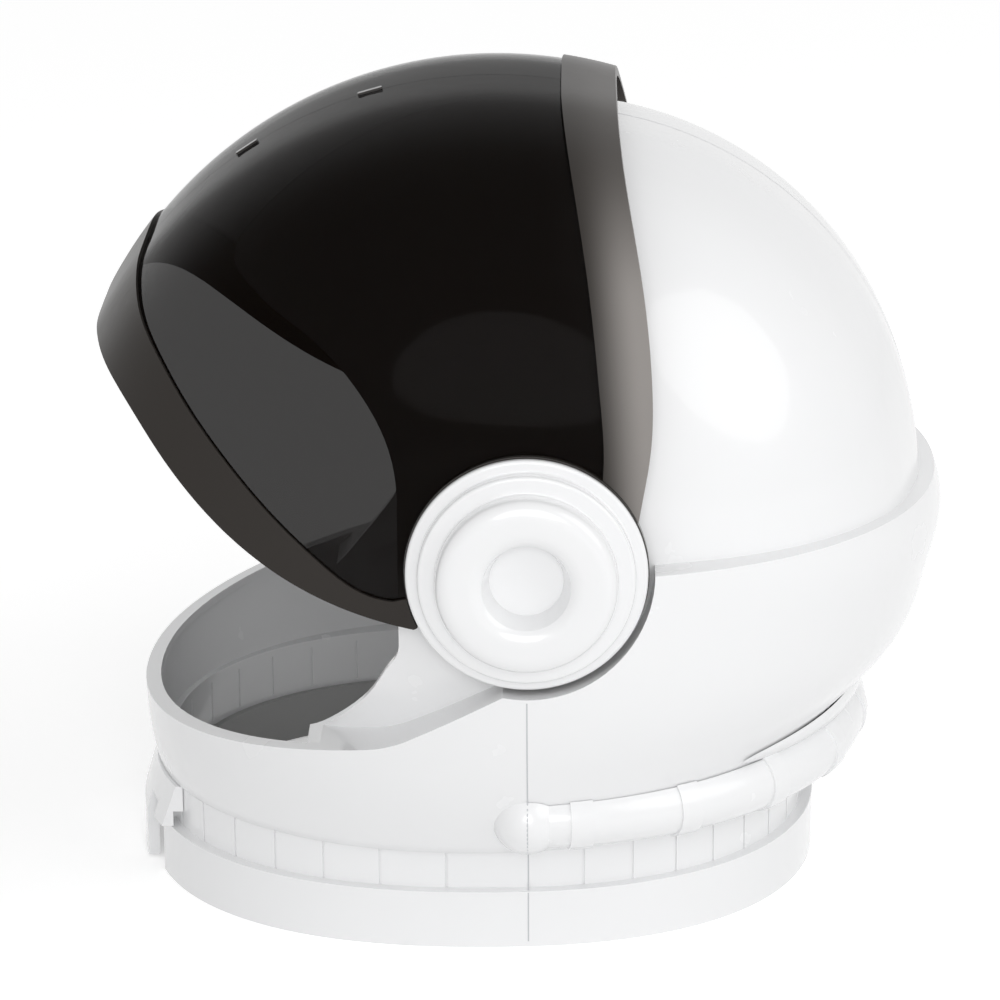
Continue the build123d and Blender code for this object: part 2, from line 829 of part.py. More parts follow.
# Rear rim of the visor, a hoop over the dome
with BuildPart() as visor_rear_rim:
    add(visor_piece(rear_crease, rear_edge, rim_proud, False))
visor_rear_rim.part.label = "visor_rear_rim"
export_step(visor_rear_rim.part, "parts/visor_rear_rim.step")

# Two small catches on the seam of the lens
with BuildPart() as visor_snap_tabs:
    for angle in tab_angles:
        turn = radians(angle)
        reach = visor_radius + running_fit + tab_proud / 2
        place = (0, pivot_y - visor_setback - reach * sin(turn), pivot_z - visor_sink + reach * cos(turn))
        with Locations(Location(place, (angle, 0, 0))):
            Box(tab_width, tab_length, tab_proud)
visor_snap_tabs.part.label = "visor_snap_tabs"
export_step(visor_snap_tabs.part, "parts/visor_snap_tabs.step")

# Cushion under the crown
with BuildPart() as crown_pad:
    with BuildSketch(Plane.XY.offset(pivot_z)):
        with Locations((0, pivot_y + crown_pad_setback)):
            Circle(crown_pad_radius)
    extrude(amount=dome_radius)
    add(head_solid(False, wall + fit_gap), mode=Mode.INTERSECT)
    add(head_solid(False, wall + fit_gap + pad_thickness), mode=Mode.SUBTRACT)
    fillet(crown_pad.edges(), pad_round)
crown_pad.part.label = "crown_pad"
export_step(crown_pad.part, "parts/crown_pad.step")

# Cushion behind the head
with BuildPart() as rear_pad:
    with BuildSketch(Plane.XZ.offset(-pivot_y - crown_pad_setback)):
        with Locations((0, pivot_z + rear_pad_rise)):
            RectangleRounded(rear_pad_width, rear_pad_height, pad_corner)
    extrude(amount=-dome_radius)
    add(head_solid(False, wall + fit_gap), mode=Mode.INTERSECT)
    add(head_solid(False, wall + fit_gap + pad_thickness), mode=Mode.SUBTRACT)
    fillet(rear_pad.edges(), pad_round)
rear_pad.part.label = "rear_pad"
export_step(rear_pad.part, "parts/rear_pad.step")

# Cushions beside the temples
for side, hand in ((1, "left"), (-1, "right")):
    with BuildPart() as side_pad:
        with BuildSketch(Plane.YZ):
            with Locations((pivot_y + side_pad_setback, pivot_z + side_pad_rise)):
                RectangleRounded(side_pad_width, side_pad_height, pad_corner)
        extrude(amount=side * dome_half_width)
        add(head_solid(False, wall + fit_gap), mode=Mode.INTERSECT)
        add(head_solid(False, wall + fit_gap + pad_thickness), mode=Mode.SUBTRACT)
        fillet(side_pad.edges(), pad_round)
    side_pad.part.label = f"side_pad_{hand}"
    export_step(side_pad.part, f"parts/side_pad_{hand}.step")
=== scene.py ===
import json
from math import cos, pi, radians, sin

import bpy
from mathutils import Matrix, Vector
from mathutils.bvhtree import BVHTree


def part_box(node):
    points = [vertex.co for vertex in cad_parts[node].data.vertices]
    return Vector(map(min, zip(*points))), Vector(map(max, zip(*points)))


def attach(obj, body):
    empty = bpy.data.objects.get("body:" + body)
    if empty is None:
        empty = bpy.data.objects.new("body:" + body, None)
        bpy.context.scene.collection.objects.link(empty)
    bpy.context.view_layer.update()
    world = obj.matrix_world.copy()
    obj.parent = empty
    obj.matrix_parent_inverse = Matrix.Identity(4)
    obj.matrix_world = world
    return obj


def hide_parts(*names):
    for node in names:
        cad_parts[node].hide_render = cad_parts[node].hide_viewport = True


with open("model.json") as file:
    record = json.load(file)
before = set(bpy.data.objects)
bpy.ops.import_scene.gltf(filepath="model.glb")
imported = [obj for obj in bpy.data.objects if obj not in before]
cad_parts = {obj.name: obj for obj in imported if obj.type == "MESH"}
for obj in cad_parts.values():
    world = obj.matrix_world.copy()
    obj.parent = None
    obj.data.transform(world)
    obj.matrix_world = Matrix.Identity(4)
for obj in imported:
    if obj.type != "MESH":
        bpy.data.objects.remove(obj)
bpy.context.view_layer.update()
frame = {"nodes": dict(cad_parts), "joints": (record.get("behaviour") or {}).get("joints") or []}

bl_info = {
    "name": "Space helmet",
    "version": (1, 0, 0),
    "blender": (4, 5, 0),
    "location": "View3D > Sidebar > Helmet",
    "description": "Finishes, seams, cushions and stage of a space helmet with a swinging visor",
    "category": "Object",
}

PIVOT = Vector(frame["joints"][0]["pos_m"])
SHELL_NODES = ("front_shell", "rear_shell", "rear_dome", "air_hose", "front_clip")
KNOB_NODES = ("ear_knob_left", "ear_knob_right")
LENS_NODES = ("visor_lens_left", "visor_lens_right")
RIM_NODES = ("visor_front_rim", "visor_rear_rim")
HUB_NODES = ("visor_hub_left", "visor_hub_right", "visor_snap_tabs")
PLATE_NODES = ("neck_hoop", "ear_plate_left", "ear_plate_right")
BUSH_NODES = ("pivot_bush_left", "pivot_bush_right", "pivot_washer_left", "pivot_washer_right")
SCREW_NODES = ("hoop_screws", "clip_screws", "ear_plate_screws", "pivot_screw_left", "pivot_screw_right")

RIPPLE_SCALE = 9.0
HAZE_SCALE = 22.0
CLOUD_SCALE = 35.0
PAPER_SCALE = 40.0
FADING_SCALE = 60.0
GRAIN_SCALE = 900.0
DUST_SCALE = 1400.0
TURNING_SCALE = 2200.0

PLASTIC_IOR = 1.49
RIM_IOR = 1.18
LENS_IOR = 1.08
COAT_ROUGHNESS = 0.04
RIM_GRAIN = 0.000004
TURNING_DEPTH = 0.00002
WEAVE_DEPTH = 0.0003

FLOOR_HALF = 6.0
SENSOR_WIDTH = 36.0

SEAM_REACH = 0.3
SEAM_LIFT = 0.00004
SEAM_PROFILE = ((-0.5, 0.6), (-0.25, 0.0), (0.25, 0.0), (0.5, 0.6))
DOME_SEAM_SHIFT = 0.002
DOME_SEAM_SPAN = 88
DOME_SEAM_STEPS = 96
SIDE_SEAM_LOW = 0.002
SIDE_SEAM_HEIGHT = 0.0995
SIDE_SEAM_STEPS = 59

SEAT_FACING = 0.2
PAD_CHANNELS = {
    "crown_pad": (-0.34, 0.34),
    "rear_pad": (-0.5, 0.0, 0.5),
    "side_pad_left": (-0.34, 0.34),
    "side_pad_right": (-0.34, 0.34),
}


class StageSettings(bpy.types.PropertyGroup):
    """Floor, lamps and camera."""

    floor_color: bpy.props.FloatVectorProperty(
        name="Floor colour", description="Colour of the floor", subtype="COLOR",
        size=3, min=0, max=1, default=(0.86, 0.86, 0.86),
    )
    floor_lift: bpy.props.FloatProperty(
        name="Floor lift", description="Light that the floor shows to the camera by itself",
        min=0, max=1, default=0.42,
    )
    ambient: bpy.props.FloatProperty(
        name="Ambient", description="Strength of the soft light from all round",
        min=0, max=2, default=0.61,
    )
    rear_power: bpy.props.FloatProperty(
        name="Rear power", description="Power of the lamp behind the helmet", unit="POWER",
        min=0, max=200, default=8.0,
    )
    rear_place: bpy.props.FloatVectorProperty(
        name="Rear place", description="Where the lamp behind the helmet stands",
        subtype="TRANSLATION", unit="LENGTH", size=3, default=(0.90, 1.50, 1.20),
    )
    rear_size: bpy.props.FloatProperty(
        name="Rear size", description="Width of the lamp behind the helmet", unit="LENGTH",
        min=0.1, max=5, default=1.6,
    )
    front_power: bpy.props.FloatProperty(
        name="Front power", description="Power of the lamp behind the camera", unit="POWER",
        min=0, max=200, default=27.0,
    )
    front_place: bpy.props.FloatVectorProperty(
        name="Front place", description="Where the lamp behind the camera stands",
        subtype="TRANSLATION", unit="LENGTH", size=3, default=(2.90, 0.08, 1.06),
    )
    front_size: bpy.props.FloatProperty(
        name="Front size", description="Width of the lamp behind the camera", unit="LENGTH",
        min=0.1, max=5, default=1.7,
    )
    aim_place: bpy.props.FloatVectorProperty(
        name="Aim", description="Point that the lamps shine at",
        subtype="TRANSLATION", unit="LENGTH", size=3, default=(0, 0.02, 0.14),
    )
    camera_place: bpy.props.FloatVectorProperty(
        name="Camera place", description="Where the camera stands", subtype="TRANSLATION", unit="LENGTH",
        size=3, default=(1.45015, 0.03452, 0.61437),
    )
    camera_turn: bpy.props.FloatProperty(
        name="Camera azimuth", description="Direction that the camera looks from, round the vertical",
        subtype="ANGLE", default=radians(91.1),
    )
    camera_rise: bpy.props.FloatProperty(
        name="Camera elevation", description="Angle that the camera looks down", subtype="ANGLE",
        default=radians(18.52),
    )
    camera_roll: bpy.props.FloatProperty(
        name="Camera roll", description="Tilt of the picture", subtype="ANGLE", default=radians(-0.31),
    )
    camera_lens: bpy.props.FloatProperty(
        name="Focal length", description="Focal length on a 36 mm frame", unit="CAMERA", min=10, max=500,
        default=149.69,
    )


class ShellSettings(bpy.types.PropertyGroup):
    """White shell and knobs."""

    color: bpy.props.FloatVectorProperty(
        name="Shell colour", description="Colour of the white plastic", subtype="COLOR",
        size=3, min=0, max=1, default=(0.87, 0.873, 0.88),
    )
    roughness: bpy.props.FloatProperty(
        name="Shell roughness", description="Roughness of the moulded gloss", min=0, max=1, default=0.26,
    )
    ripple: bpy.props.FloatProperty(
        name="Ripple", description="Depth of the slow waviness of the moulding", unit="LENGTH",
        min=0, max=0.001, default=0.00006,
    )
    seam_color: bpy.props.FloatVectorProperty(
        name="Seam colour", description="Colour in the joint lines of the shell", subtype="COLOR",
        size=3, min=0, max=1, default=(0.56, 0.57, 0.59),
    )
    seam_width: bpy.props.FloatProperty(
        name="Seam width", description="Width of the joint lines", unit="LENGTH", min=0, max=0.002,
        default=0.0005,
    )


class VisorSettings(bpy.types.PropertyGroup):
    """Smoked lens and its dark rims."""

    lens_color: bpy.props.FloatVectorProperty(
        name="Lens colour", description="Colour of the smoked lens", subtype="COLOR",
        size=3, min=0, max=1, default=(0.0024, 0.0013, 0.0008),
    )
    lens_cover: bpy.props.FloatProperty(
        name="Lens cover", description="Share of the light that each face of the lens holds back",
        min=0, max=1, default=0.77,
    )
    rim_color: bpy.props.FloatVectorProperty(
        name="Rim colour", description="Colour of the rims and hubs", subtype="COLOR",
        size=3, min=0, max=1, default=(0.036, 0.032, 0.029),
    )
    rim_roughness: bpy.props.FloatProperty(
        name="Rim roughness", description="Roughness of the rims", min=0, max=1, default=0.30,
    )
    # Painted light: the rear rim turns this warm grey towards its rear edge in place of the white dome's
    # light seen in it; the settings below place and shape it.
    painted_light_color: bpy.props.FloatVectorProperty(
        name="Rear edge colour", description="Colour of the rear rim at its rear edge", subtype="COLOR",
        size=3, min=0, max=1, default=(0.29, 0.272, 0.258),
    )
    fade_start: bpy.props.FloatProperty(
        name="Fade start", description="Where the rear rim begins to pale, behind the pivot",
        unit="LENGTH", min=0, max=0.1, default=0.025,
    )
    fade_bow: bpy.props.FloatProperty(
        name="Fade bow", description="How much further forward it begins at the fade height",
        unit="LENGTH", min=0, max=0.1, default=0.014,
    )
    fade_height: bpy.props.FloatProperty(
        name="Fade height", description="Height over the pivot that the bow is stated at", unit="LENGTH",
        min=0.01, max=0.3, default=0.143,
    )
    fade_width: bpy.props.FloatProperty(
        name="Fade width", description="Width over which the rear rim pales", unit="LENGTH",
        min=0.001, max=0.1, default=0.017,
    )
    top_start: bpy.props.FloatProperty(
        name="Top start", description="Share of the fade height over which the rim pales less",
        min=0, max=1, default=0.60,
    )
    top_end: bpy.props.FloatProperty(
        name="Top end", description="Share of the fade height from which it pales least",
        min=0, max=1, default=0.95,
    )
    top_share: bpy.props.FloatProperty(
        name="Top share", description="How much of the fade is left there", min=0, max=1, default=0.15,
    )


class CushionSettings(bpy.types.PropertyGroup):
    """Cushions inside the dome."""

    cloth_color: bpy.props.FloatVectorProperty(
        name="Cloth colour", description="Colour of the cushions' cover", subtype="COLOR",
        size=3, min=0, max=1, default=(0.060, 0.062, 0.068),
    )
    weave: bpy.props.FloatProperty(
        name="Weave", description="Distance between two threads of the cover", unit="LENGTH",
        min=0.0002, max=0.005, default=0.0009,
    )
    cell: bpy.props.FloatProperty(
        name="Cell", description="Grid on which the cover is made", unit="LENGTH",
        min=0.001, max=0.01, default=0.0025,
    )
    slack: bpy.props.FloatProperty(
        name="Slack", description="How much smaller than its room the cover starts", unit="LENGTH",
        min=0, max=0.005, default=0.0020,
    )
    swell: bpy.props.FloatProperty(
        name="Swell", description="Most that filling moves any point of the cover", unit="LENGTH",
        min=0, max=0.02, default=0.0040,
    )
    pressure: bpy.props.FloatProperty(
        name="Filling pressure", description="Pressure of the filling", min=0, max=20, default=4.0,
    )
    fill_steps: bpy.props.IntProperty(
        name="Filling steps", description="Steps of the cloth run", min=1, max=200, default=20,
    )
    fill_quality: bpy.props.IntProperty(
        name="Filling quality", description="Steps within each step of the cloth run",
        min=1, max=40, default=6,
    )
    cover_mass: bpy.props.FloatProperty(
        name="Cover mass", description="Mass of the cover in the cloth run", min=0.01, max=5, default=0.2,
    )
    stretch_stiffness: bpy.props.FloatProperty(
        name="Stretch stiffness", description="How hard the cover is to stretch or to press together",
        min=0, max=100, default=12.0,
    )
    bend_stiffness: bpy.props.FloatProperty(
        name="Bend stiffness", description="How hard the cover is to bend", min=0, max=10, default=0.4,
    )
    channel_depth: bpy.props.FloatProperty(
        name="Channel depth", description="Depth of the sewn channels", unit="LENGTH",
        min=0, max=0.005, default=0.0016,
    )
    channel_width: bpy.props.FloatProperty(
        name="Channel width", description="Half the width of the sewn channels", unit="LENGTH",
        min=0.001, max=0.02, default=0.0055,
    )


class HelmetSettings(bpy.types.PropertyGroup):
    """All settings of the helmet."""

    stage: bpy.props.PointerProperty(
        type=StageSettings, name="Stage", description="Floor, lamps and camera",
    )
    shell: bpy.props.PointerProperty(
        type=ShellSettings, name="Shell", description="White shell and knobs",
    )
    visor: bpy.props.PointerProperty(
        type=VisorSettings, name="Visor", description="Lens and rims",
    )
    cushion: bpy.props.PointerProperty(
        type=CushionSettings, name="Cushions", description="Soft pieces inside",
    )


def new_material(name):
    """A node material, with its tree and its shader."""
    material = bpy.data.materials.new(name)
    material.use_nodes = True
    tree = material.node_tree
    return material, tree, tree.nodes["Principled BSDF"]


def set_sockets(node, **values):
    """Sets sockets of a node by name, with underscores for spaces."""
    for key, value in values.items():
        node.inputs[key.replace("_", " ")].default_value = value


def object_noise(tree, scale, detail=2.0):
    """Noise that stays on the object."""
    coordinates = tree.nodes.new("ShaderNodeTexCoord")
    noise = tree.nodes.new("ShaderNodeTexNoise")
    set_sockets(noise, Scale=scale, Detail=detail)
    tree.links.new(coordinates.outputs["Object"], noise.inputs["Vector"])
    return noise


def counted(tree, operation, first, second):
    """Reckons with two values, each a socket or a number."""
    node = tree.nodes.new("ShaderNodeMath")
    node.operation = operation
    for slot, value in enumerate((first, second)):
        if isinstance(value, (int, float)):
            node.inputs[slot].default_value = value
        else:
            tree.links.new(value, node.inputs[slot])
    return node.outputs["Value"]


def ranged(tree, source, low, high):
    """Maps a 0 to 1 value to a range."""
    mapped = tree.nodes.new("ShaderNodeMapRange")
    set_sockets(mapped, To_Min=low, To_Max=high)
    tree.links.new(source, mapped.inputs["Value"])
    return mapped.outputs["Result"]


def tinted(tree, factor, color_a, color_b):
    """Mixes two colours."""
    mix = tree.nodes.new("ShaderNodeMix")
    mix.data_type = "RGBA"
    tree.links.new(factor, mix.inputs["Factor"])
    mix.inputs["A"].default_value = (*color_a, 1)
    mix.inputs["B"].default_value = (*color_b, 1)
    return mix.outputs["Result"]


def bumped(tree, shader, height, distance):
    """Adds a bump to a shader or to another bump."""
    bump = tree.nodes.new("ShaderNodeBump")
    set_sockets(bump, Distance=distance, Strength=1.0)
    tree.links.new(height, bump.inputs["Height"])
    tree.links.new(bump.outputs["Normal"], shader.inputs["Normal"])
    return bump


def scaled(color, share):
    """A colour made darker or lighter by a share."""
    return tuple(min(1.0, c * share) for c in color)


def moulded_plastic(name, color, roughness, ripple, grain, variation=0.03, gloss_coat=0.0):
    """Injection moulded plastic: slow ripple, fine grain and slight changes of colour and gloss."""
    material, tree, shader = new_material(name)
    slow = object_noise(tree, RIPPLE_SCALE, 1.0)
    fine = object_noise(tree, GRAIN_SCALE, 3.0)
    cloud = object_noise(tree, CLOUD_SCALE, 4.0)
    color_out = tinted(tree, cloud.outputs["Fac"], scaled(color, 1 - variation), color)
    tree.links.new(color_out, shader.inputs["Base Color"])
    rough = ranged(tree, cloud.outputs["Fac"], roughness * 0.85, roughness * 1.15)
    tree.links.new(rough, shader.inputs["Roughness"])
    first = bumped(tree, shader, fine.outputs["Fac"], grain)
    bumped(tree, first, slow.outputs["Fac"], ripple)
    set_sockets(shader, IOR=PLASTIC_IOR, Coat_Weight=gloss_coat, Coat_Roughness=COAT_ROUGHNESS)
    return material


def smoked_lens(settings):
    """Clear gloss plastic that is smoked all through, with faint haze and dust."""
    material, tree, shader = new_material("smoked_lens")
    haze = object_noise(tree, HAZE_SCALE, 3.0)
    dust = object_noise(tree, DUST_SCALE)
    color = tuple(settings.lens_color)
    color_out = tinted(tree, haze.outputs["Fac"], color, scaled(color, 1.25))
    tree.links.new(color_out, shader.inputs["Base Color"])
    tree.links.new(ranged(tree, dust.outputs["Fac"], 0.03, 0.07), shader.inputs["Roughness"])
    set_sockets(shader, IOR=LENS_IOR, Alpha=settings.lens_cover)
    return material


def screw_metal():
    """Plated steel with fine turning marks."""
    material, tree, shader = new_material("plated_steel")
    marks = object_noise(tree, TURNING_SCALE)
    set_sockets(shader, Metallic=1.0)
    steel = tinted(tree, marks.outputs["Fac"], (0.48, 0.48, 0.47), (0.62, 0.61, 0.59))
    tree.links.new(steel, shader.inputs["Base Color"])
    tree.links.new(ranged(tree, marks.outputs["Fac"], 0.24, 0.42), shader.inputs["Roughness"])
    bumped(tree, shader, marks.outputs["Fac"], TURNING_DEPTH)
    return material


def woven_cloth(settings):
    """Woven cover: two crossing waves of thread with fuzz and slight fading, and painted shade in the
    hollows between threads.
    """
    material, tree, shader = new_material("cushion_cloth")
    coordinates = tree.nodes.new("ShaderNodeTexCoord")
    heights = []
    for direction in ("X", "Z"):
        wave = tree.nodes.new("ShaderNodeTexWave")
        wave.bands_direction = direction
        set_sockets(wave, Scale=pi / 10 / settings.weave, Distortion=0.6, Detail=1.0)
        tree.links.new(coordinates.outputs["Object"], wave.inputs["Vector"])
        heights.append(wave.outputs["Fac"])
    weave = counted(tree, "MULTIPLY", heights[0], heights[1])
    fade = object_noise(tree, FADING_SCALE, 4.0)
    color = tuple(settings.cloth_color)
    threads = tree.nodes.new("ShaderNodeMix")
    threads.data_type = "RGBA"
    tree.links.new(weave, threads.inputs["Factor"])
    # Painted shade: the thread colour is darker in the hollows between threads than on their crests.
    between = tinted(tree, fade.outputs["Fac"], scaled(color, 0.6), scaled(color, 0.8))
    tree.links.new(between, threads.inputs["A"])
    crest = tinted(tree, fade.outputs["Fac"], color, scaled(color, 1.3))
    tree.links.new(crest, threads.inputs["B"])
    tree.links.new(threads.outputs["Result"], shader.inputs["Base Color"])
    set_sockets(shader, Roughness=0.92, Sheen_Weight=0.35)
    bumped(tree, shader, weave, WEAVE_DEPTH)
    return material


def smoked_rim(settings):
    """Smoked plastic of the rims, near black at the lens, with painted light towards the rear edge: a
    warm grey that stands in for the white dome's light seen in the rear rim.
    """
    material, tree, shader = new_material("rim_plastic")
    coordinates = tree.nodes.new("ShaderNodeTexCoord")
    parts = tree.nodes.new("ShaderNodeSeparateXYZ")
    tree.links.new(coordinates.outputs["Object"], parts.inputs["Vector"])
    rise = counted(tree, "SUBTRACT", parts.outputs["Z"], PIVOT.z)
    share = counted(tree, "DIVIDE", rise, settings.fade_height)
    bow = counted(tree, "MULTIPLY", counted(tree, "MULTIPLY", share, share), settings.fade_bow)
    back = counted(tree, "SUBTRACT", parts.outputs["Y"], PIVOT.y + settings.fade_start)
    behind = counted(tree, "ADD", back, bow)
    fade = tree.nodes.new("ShaderNodeMapRange")
    fade.interpolation_type = "SMOOTHSTEP"
    set_sockets(fade, From_Min=0.0, From_Max=settings.fade_width)
    tree.links.new(behind, fade.inputs["Value"])
    top = tree.nodes.new("ShaderNodeMapRange")
    top.interpolation_type = "SMOOTHSTEP"
    set_sockets(
        top, From_Min=settings.top_start, From_Max=settings.top_end,
        To_Min=1.0, To_Max=settings.top_share,
    )
    tree.links.new(share, top.inputs["Value"])
    cloud = object_noise(tree, CLOUD_SCALE, 4.0)
    # Painted light: behind the pivot the rear rim is mixed towards a warm grey, less near its top, in
    # place of the white dome's light seen in it.
    painted_light_mask = counted(tree, "MULTIPLY", fade.outputs["Result"], top.outputs["Result"])
    factor = counted(tree, "MULTIPLY", painted_light_mask, ranged(tree, cloud.outputs["Fac"], 0.9, 1.0))
    color_out = tinted(tree, factor, tuple(settings.rim_color), tuple(settings.painted_light_color))
    tree.links.new(color_out, shader.inputs["Base Color"])
    rough = ranged(tree, cloud.outputs["Fac"], settings.rim_roughness * 0.9, settings.rim_roughness * 1.1)
    tree.links.new(rough, shader.inputs["Roughness"])
    fine = object_noise(tree, GRAIN_SCALE, 3.0)
    bumped(tree, shader, fine.outputs["Fac"], RIM_GRAIN)
    set_sockets(shader, IOR=RIM_IOR)
    return material


def finish_nodes(names, material):
    """Gives CAD nodes a material."""
    for name in names:
        node = frame["nodes"][name]
        node.data.materials.clear()
        node.data.materials.append(material)


def new_piece(name, vertices, faces, material, body):
    """A mesh piece that rides on a body."""
    mesh = bpy.data.meshes.new(name)
    mesh.from_pydata([tuple(v) for v in vertices], [], faces)
    mesh.update()
    for polygon in mesh.polygons:
        polygon.use_smooth = True
    piece = bpy.data.objects.new(name, mesh)
    bpy.context.scene.collection.objects.link(piece)
    piece.data.materials.append(material)
    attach(piece, body)
    return piece


def surface_of(name):
    """Search tree of a CAD node's surface."""
    node = frame["nodes"][name]
    return BVHTree.FromPolygons(
        [v.co.copy() for v in node.data.vertices], [tuple(p.vertices) for p in node.data.polygons],
    )


def seam_strip(name, rays, trees, width, across, material):
    """Thin joint line laid on the shell where a row of rays meets it."""
    points = []
    for origin, direction in rays:
        hits = [tree.ray_cast(origin, direction) for tree in trees]
        hits = [hit for hit in hits if hit[0] is not None]
        if hits:
            place, normal, _, _ = min(hits, key=lambda hit: hit[3])
            if normal.dot(direction) > 0:
                normal = -normal
            points.append((place, normal))
    if len(points) < 2:
        raise RuntimeError(f"{name} meets no surface")
    vertices, faces = [], []
    for index, (place, normal) in enumerate(points):
        side = across - normal * across.dot(normal)
        side.normalize()
        for share, sink in SEAM_PROFILE:
            vertices.append(place + side * width * share + normal * SEAM_LIFT * (1 - sink))
        if index:
            row = len(SEAM_PROFILE)
            for first in range(row * (index - 1), row * index - 1):
                faces.append((first, first + 1, first + row + 1, first + row))
    return new_piece(name, vertices, faces, material, "helmet")


def make_cushion(node, material, channels, settings):
    """Sewn cushion in the room of a CAD pad: filled like a cover, then drawn in along its seams."""
    source = frame["nodes"][node]
    piece = bpy.data.objects.new(f"{node}_cover", source.data.copy())
    bpy.context.scene.collection.objects.link(piece)
    remesh = piece.modifiers.new("remesh", "REMESH")
    remesh.mode = "VOXEL"
    remesh.voxel_size = settings.cell
    bake_modifiers(piece)
    low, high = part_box(node)
    middle = (low + high) / 2
    seat = (middle - Vector((0.0, PIVOT.y, PIVOT.z))).normalized()
    fill_cover(piece, seat, settings)
    sew_cover(piece, seat, middle, channels, settings)
    subdivision = piece.modifiers.new("subdivision", "SUBSURF")
    subdivision.levels = 1
    subdivision.render_levels = 1
    bake_modifiers(piece)
    piece.data.materials.clear()
    piece.data.materials.append(material)
    for polygon in piece.data.polygons:
        polygon.use_smooth = True
    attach(piece, "helmet")
    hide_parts(node)


def fill_cover(piece, seat, settings):
    """Blows the cover up from inside while its seat against the shell stays put."""
    mesh = piece.data
    held = piece.vertex_groups.new(name="seat")
    for vertex in mesh.vertices:
        facing = vertex.normal.dot(seat)
        if facing > SEAT_FACING:
            held.add([vertex.index], 1.0, "REPLACE")
        else:
            vertex.co -= vertex.normal * settings.slack * min(1.0, SEAT_FACING - facing)
    mesh.update()
    before = [v.co.copy() for v in mesh.vertices]
    cloth = piece.modifiers.new("cloth", "CLOTH")
    cloth.settings.quality = settings.fill_quality
    cloth.settings.mass = settings.cover_mass
    cloth.settings.tension_stiffness = settings.stretch_stiffness
    cloth.settings.compression_stiffness = settings.stretch_stiffness
    cloth.settings.bending_stiffness = settings.bend_stiffness
    cloth.settings.use_pressure = True
    cloth.settings.uniform_pressure_force = settings.pressure
    cloth.settings.vertex_group_mass = "seat"
    cloth.settings.effector_weights.gravity = 0
    cloth.collision_settings.use_collision = False
    scene = bpy.context.scene
    for step in range(settings.fill_steps):
        scene.frame_set(step + 1)
    graph = bpy.context.evaluated_depsgraph_get()
    after = [v.co.copy() for v in piece.evaluated_get(graph).data.vertices]
    piece.modifiers.clear()
    scene.frame_set(1)
    for vertex, place, moved in zip(mesh.vertices, before, after):
        step = moved - place
        if step.length > settings.swell:
            step *= settings.swell / step.length
        vertex.co = place + step
    mesh.update()


def sew_cover(piece, seat, middle, channels, settings):
    """Draws the cover in along its sewn channels and towards its corners."""
    along = seat.cross(Vector((1, 0, 0)) if abs(seat.x) < 0.5 else Vector((0, 1, 0))).normalized()
    across = seat.cross(along).normalized()
    points = [v.co - middle for v in piece.data.vertices]
    span_along = max(abs(p.dot(along)) for p in points)
    span_across = max(abs(p.dot(across)) for p in points)
    normals = [v.normal.copy() for v in piece.data.vertices]
    for vertex, point, normal in zip(piece.data.vertices, points, normals):
        a = point.dot(along) / span_along
        b = point.dot(across) / span_across
        facing = max(0.0, -normal.dot(seat))
        groove = 0.0
        for channel in channels:
            distance = abs(a - channel) * span_along
            groove = max(groove, max(0.0, 1 - distance / settings.channel_width) ** 2)
        corner = (a * b) ** 2
        vertex.co += seat * facing * settings.channel_depth * (groove + corner)
    piece.data.update()


def bake_modifiers(piece):
    """Turns a piece's modifiers into its mesh."""
    bpy.context.view_layer.update()
    graph = bpy.context.evaluated_depsgraph_get()
    mesh = bpy.data.meshes.new_from_object(piece.evaluated_get(graph))
    piece.modifiers.clear()
    piece.data = mesh


